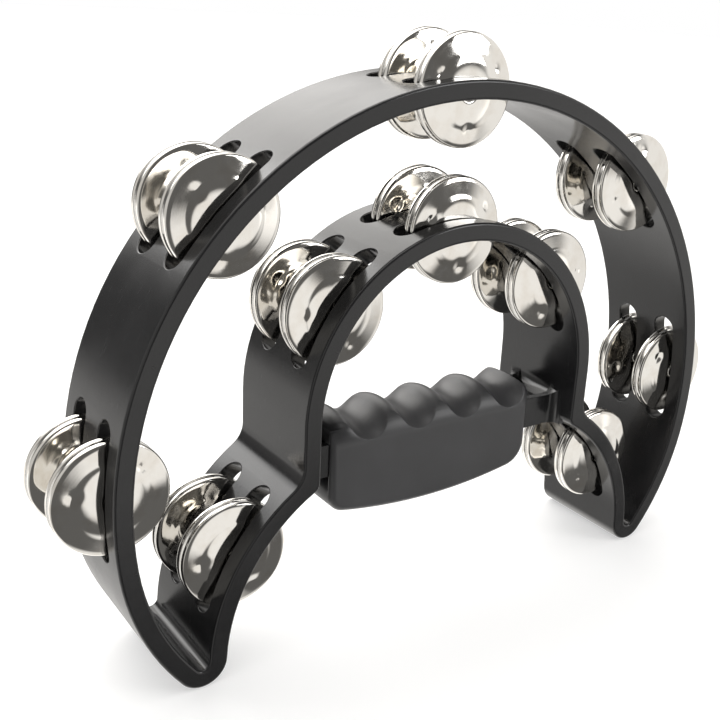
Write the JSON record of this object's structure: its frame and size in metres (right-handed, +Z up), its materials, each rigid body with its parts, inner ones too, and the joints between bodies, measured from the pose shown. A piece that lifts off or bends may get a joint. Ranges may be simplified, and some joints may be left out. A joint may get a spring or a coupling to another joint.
{
  "type": "tambourine",
  "caption": "Crescent tambourine: a black moulded ribbon frame with a finger-grooved hand grip and pairs of loose nickel jingles on pins.",
  "frame": {"origin": "middle of the base, on the plane where the two horns stand, at mid depth", "axes": "+X to the right seen from the front, +Y into the depth, +Z up from the horns to the top of the outer arc"},
  "size_m": [0.297, 0.0466, 0.216],
  "materials": {
    "frame_plastic": "moulded ABS, glossy with a faint grain",
    "grip_plastic": "smooth semi-gloss elastomer",
    "jingle_nickel": "stamped steel with polished nickel plate",
    "pin_steel": "drawn wire"
  },
  "bodies": {
    "frame_body": {"frame": "frame_plastic", "grip_sleeve": "grip_plastic", "jingle_pins": "pin_steel"},
    "jingle_outer_right_low_front_fore_body": {"jingle_outer_right_low_front_fore": "jingle_nickel"},
    "jingle_outer_right_low_front_aft_body": {"jingle_outer_right_low_front_aft": "jingle_nickel"},
    "jingle_outer_right_low_rear_fore_body": {"jingle_outer_right_low_rear_fore": "jingle_nickel"},
    "jingle_outer_right_low_rear_aft_body": {"jingle_outer_right_low_rear_aft": "jingle_nickel"},
    "jingle_outer_right_high_front_fore_body": {"jingle_outer_right_high_front_fore": "jingle_nickel"},
    "jingle_outer_right_high_front_aft_body": {"jingle_outer_right_high_front_aft": "jingle_nickel"},
    "jingle_outer_right_high_rear_fore_body": {"jingle_outer_right_high_rear_fore": "jingle_nickel"},
    "jingle_outer_right_high_rear_aft_body": {"jingle_outer_right_high_rear_aft": "jingle_nickel"},
    "jingle_outer_top_front_fore_body": {"jingle_outer_top_front_fore": "jingle_nickel"},
    "jingle_outer_top_front_aft_body": {"jingle_outer_top_front_aft": "jingle_nickel"},
    "jingle_outer_top_rear_fore_body": {"jingle_outer_top_rear_fore": "jingle_nickel"},
    "jingle_outer_top_rear_aft_body": {"jingle_outer_top_rear_aft": "jingle_nickel"},
    "jingle_outer_left_high_front_fore_body": {"jingle_outer_left_high_front_fore": "jingle_nickel"},
    "jingle_outer_left_high_front_aft_body": {"jingle_outer_left_high_front_aft": "jingle_nickel"},
    "jingle_outer_left_high_rear_fore_body": {"jingle_outer_left_high_rear_fore": "jingle_nickel"},
    "jingle_outer_left_high_rear_aft_body": {"jingle_outer_left_high_rear_aft": "jingle_nickel"},
    "jingle_outer_left_low_front_fore_body": {"jingle_outer_left_low_front_fore": "jingle_nickel"},
    "jingle_outer_left_low_front_aft_body": {"jingle_outer_left_low_front_aft": "jingle_nickel"},
    "jingle_outer_left_low_rear_fore_body": {"jingle_outer_left_low_rear_fore": "jingle_nickel"},
    "jingle_outer_left_low_rear_aft_body": {"jingle_outer_left_low_rear_aft": "jingle_nickel"},
    "jingle_arch_right_front_fore_body": {"jingle_arch_right_front_fore": "jingle_nickel"},
    "jingle_arch_right_front_aft_body": {"jingle_arch_right_front_aft": "jingle_nickel"},
    "jingle_arch_right_rear_fore_body": {"jingle_arch_right_rear_fore": "jingle_nickel"},
    "jingle_arch_right_rear_aft_body": {"jingle_arch_right_rear_aft": "jingle_nickel"},
    "jingle_arch_top_front_fore_body": {"jingle_arch_top_front_fore": "jingle_nickel"},
    "jingle_arch_top_front_aft_body": {"jingle_arch_top_front_aft": "jingle_nickel"},
    "jingle_arch_top_rear_fore_body": {"jingle_arch_top_rear_fore": "jingle_nickel"},
    "jingle_arch_top_rear_aft_body": {"jingle_arch_top_rear_aft": "jingle_nickel"},
    "jingle_arch_left_front_fore_body": {"jingle_arch_left_front_fore": "jingle_nickel"},
    "jingle_arch_left_front_aft_body": {"jingle_arch_left_front_aft": "jingle_nickel"},
    "jingle_arch_left_rear_fore_body": {"jingle_arch_left_rear_fore": "jingle_nickel"},
    "jingle_arch_left_rear_aft_body": {"jingle_arch_left_rear_aft": "jingle_nickel"},
    "jingle_leg_right_front_fore_body": {"jingle_leg_right_front_fore": "jingle_nickel"},
    "jingle_leg_right_front_aft_body": {"jingle_leg_right_front_aft": "jingle_nickel"},
    "jingle_leg_right_rear_fore_body": {"jingle_leg_right_rear_fore": "jingle_nickel"},
    "jingle_leg_right_rear_aft_body": {"jingle_leg_right_rear_aft": "jingle_nickel"},
    "jingle_leg_left_front_fore_body": {"jingle_leg_left_front_fore": "jingle_nickel"},
    "jingle_leg_left_front_aft_body": {"jingle_leg_left_front_aft": "jingle_nickel"},
    "jingle_leg_left_rear_fore_body": {"jingle_leg_left_rear_fore": "jingle_nickel"},
    "jingle_leg_left_rear_aft_body": {"jingle_leg_left_rear_aft": "jingle_nickel"}
  },
  "joints": [
    {"name": "jingle_outer_right_low_front_fore_slide", "type": "slide", "parent": "frame_body", "child": "jingle_outer_right_low_front_fore_body", "axis": [0, -1, 0], "range_m": [-0.00015, 0.0006]},
    {"name": "jingle_outer_right_low_front_aft_slide", "type": "slide", "parent": "frame_body", "child": "jingle_outer_right_low_front_aft_body", "axis": [0, 1, 0], "range_m": [-0.00015, 0.0006]},
    {"name": "jingle_outer_right_low_rear_fore_slide", "type": "slide", "parent": "frame_body", "child": "jingle_outer_right_low_rear_fore_body", "axis": [0, -1, 0], "range_m": [-0.00015, 0.0006]},
    {"name": "jingle_outer_right_low_rear_aft_slide", "type": "slide", "parent": "frame_body", "child": "jingle_outer_right_low_rear_aft_body", "axis": [0, 1, 0], "range_m": [-0.00015, 0.0006]},
    {"name": "jingle_outer_right_high_front_fore_slide", "type": "slide", "parent": "frame_body", "child": "jingle_outer_right_high_front_fore_body", "axis": [0, -1, 0], "range_m": [-0.00015, 0.0006]},
    {"name": "jingle_outer_right_high_front_aft_slide", "type": "slide", "parent": "frame_body", "child": "jingle_outer_right_high_front_aft_body", "axis": [0, 1, 0], "range_m": [-0.00015, 0.0006]},
    {"name": "jingle_outer_right_high_rear_fore_slide", "type": "slide", "parent": "frame_body", "child": "jingle_outer_right_high_rear_fore_body", "axis": [0, -1, 0], "range_m": [-0.00015, 0.0006]},
    {"name": "jingle_outer_right_high_rear_aft_slide", "type": "slide", "parent": "frame_body", "child": "jingle_outer_right_high_rear_aft_body", "axis": [0, 1, 0], "range_m": [-0.00015, 0.0006]},
    {"name": "jingle_outer_top_front_fore_slide", "type": "slide", "parent": "frame_body", "child": "jingle_outer_top_front_fore_body", "axis": [0, -1, 0], "range_m": [-0.00015, 0.0006]},
    {"name": "jingle_outer_top_front_aft_slide", "type": "slide", "parent": "frame_body", "child": "jingle_outer_top_front_aft_body", "axis": [0, 1, 0], "range_m": [-0.00015, 0.0006]},
    {"name": "jingle_outer_top_rear_fore_slide", "type": "slide", "parent": "frame_body", "child": "jingle_outer_top_rear_fore_body", "axis": [0, -1, 0], "range_m": [-0.00015, 0.0006]},
    {"name": "jingle_outer_top_rear_aft_slide", "type": "slide", "parent": "frame_body", "child": "jingle_outer_top_rear_aft_body", "axis": [0, 1, 0], "range_m": [-0.00015, 0.0006]},
    {"name": "jingle_outer_left_high_front_fore_slide", "type": "slide", "parent": "frame_body", "child": "jingle_outer_left_high_front_fore_body", "axis": [0, -1, 0], "range_m": [-0.00015, 0.0006]},
    {"name": "jingle_outer_left_high_front_aft_slide", "type": "slide", "parent": "frame_body", "child": "jingle_outer_left_high_front_aft_body", "axis": [0, 1, 0], "range_m": [-0.00015, 0.0006]},
    {"name": "jingle_outer_left_high_rear_fore_slide", "type": "slide", "parent": "frame_body", "child": "jingle_outer_left_high_rear_fore_body", "axis": [0, -1, 0], "range_m": [-0.00015, 0.0006]},
    {"name": "jingle_outer_left_high_rear_aft_slide", "type": "slide", "parent": "frame_body", "child": "jingle_outer_left_high_rear_aft_body", "axis": [0, 1, 0], "range_m": [-0.00015, 0.0006]},
    {"name": "jingle_outer_left_low_front_fore_slide", "type": "slide", "parent": "frame_body", "child": "jingle_outer_left_low_front_fore_body", "axis": [0, -1, 0], "range_m": [-0.00015, 0.0006]},
    {"name": "jingle_outer_left_low_front_aft_slide", "type": "slide", "parent": "frame_body", "child": "jingle_outer_left_low_front_aft_body", "axis": [0, 1, 0], "range_m": [-0.00015, 0.0006]},
    {"name": "jingle_outer_left_low_rear_fore_slide", "type": "slide", "parent": "frame_body", "child": "jingle_outer_left_low_rear_fore_body", "axis": [0, -1, 0], "range_m": [-0.00015, 0.0006]},
    {"name": "jingle_outer_left_low_rear_aft_slide", "type": "slide", "parent": "frame_body", "child": "jingle_outer_left_low_rear_aft_body", "axis": [0, 1, 0], "range_m": [-0.00015, 0.0006]},
    {"name": "jingle_arch_right_front_fore_slide", "type": "slide", "parent": "frame_body", "child": "jingle_arch_right_front_fore_body", "axis": [0, -1, 0], "range_m": [-0.00015, 0.0006]},
    {"name": "jingle_arch_right_front_aft_slide", "type": "slide", "parent": "frame_body", "child": "jingle_arch_right_front_aft_body", "axis": [0, 1, 0], "range_m": [-0.00015, 0.0006]},
    {"name": "jingle_arch_right_rear_fore_slide", "type": "slide", "parent": "frame_body", "child": "jingle_arch_right_rear_fore_body", "axis": [0, -1, 0], "range_m": [-0.00015, 0.0006]},
    {"name": "jingle_arch_right_rear_aft_slide", "type": "slide", "parent": "frame_body", "child": "jingle_arch_right_rear_aft_body", "axis": [0, 1, 0], "range_m": [-0.00015, 0.0006]},
    {"name": "jingle_arch_top_front_fore_slide", "type": "slide", "parent": "frame_body", "child": "jingle_arch_top_front_fore_body", "axis": [0, -1, 0], "range_m": [-0.00015, 0.0006]},
    {"name": "jingle_arch_top_front_aft_slide", "type": "slide", "parent": "frame_body", "child": "jingle_arch_top_front_aft_body", "axis": [0, 1, 0], "range_m": [-0.00015, 0.0006]},
    {"name": "jingle_arch_top_rear_fore_slide", "type": "slide", "parent": "frame_body", "child": "jingle_arch_top_rear_fore_body", "axis": [0, -1, 0], "range_m": [-0.00015, 0.0006]},
    {"name": "jingle_arch_top_rear_aft_slide", "type": "slide", "parent": "frame_body", "child": "jingle_arch_top_rear_aft_body", "axis": [0, 1, 0], "range_m": [-0.00015, 0.0006]},
    {"name": "jingle_arch_left_front_fore_slide", "type": "slide", "parent": "frame_body", "child": "jingle_arch_left_front_fore_body", "axis": [0, -1, 0], "range_m": [-0.00015, 0.0006]},
    {"name": "jingle_arch_left_front_aft_slide", "type": "slide", "parent": "frame_body", "child": "jingle_arch_left_front_aft_body", "axis": [0, 1, 0], "range_m": [-0.00015, 0.0006]},
    {"name": "jingle_arch_left_rear_fore_slide", "type": "slide", "parent": "frame_body", "child": "jingle_arch_left_rear_fore_body", "axis": [0, -1, 0], "range_m": [-0.00015, 0.0006]},
    {"name": "jingle_arch_left_rear_aft_slide", "type": "slide", "parent": "frame_body", "child": "jingle_arch_left_rear_aft_body", "axis": [0, 1, 0], "range_m": [-0.00015, 0.0006]},
    {"name": "jingle_leg_right_front_fore_slide", "type": "slide", "parent": "frame_body", "child": "jingle_leg_right_front_fore_body", "axis": [0, -1, 0], "range_m": [-0.00015, 0.0006]},
    {"name": "jingle_leg_right_front_aft_slide", "type": "slide", "parent": "frame_body", "child": "jingle_leg_right_front_aft_body", "axis": [0, 1, 0], "range_m": [-0.00015, 0.0006]},
    {"name": "jingle_leg_right_rear_fore_slide", "type": "slide", "parent": "frame_body", "child": "jingle_leg_right_rear_fore_body", "axis": [0, -1, 0], "range_m": [-0.00015, 0.0006]},
    {"name": "jingle_leg_right_rear_aft_slide", "type": "slide", "parent": "frame_body", "child": "jingle_leg_right_rear_aft_body", "axis": [0, 1, 0], "range_m": [-0.00015, 0.0006]},
    {"name": "jingle_leg_left_front_fore_slide", "type": "slide", "parent": "frame_body", "child": "jingle_leg_left_front_fore_body", "axis": [0, -1, 0], "range_m": [-0.00015, 0.0006]},
    {"name": "jingle_leg_left_front_aft_slide", "type": "slide", "parent": "frame_body", "child": "jingle_leg_left_front_aft_body", "axis": [0, 1, 0], "range_m": [-0.00015, 0.0006]},
    {"name": "jingle_leg_left_rear_fore_slide", "type": "slide", "parent": "frame_body", "child": "jingle_leg_left_rear_fore_body", "axis": [0, -1, 0], "range_m": [-0.00015, 0.0006]},
    {"name": "jingle_leg_left_rear_aft_slide", "type": "slide", "parent": "frame_body", "child": "jingle_leg_left_rear_aft_body", "axis": [0, 1, 0], "range_m": [-0.00015, 0.0006]}
  ]
}
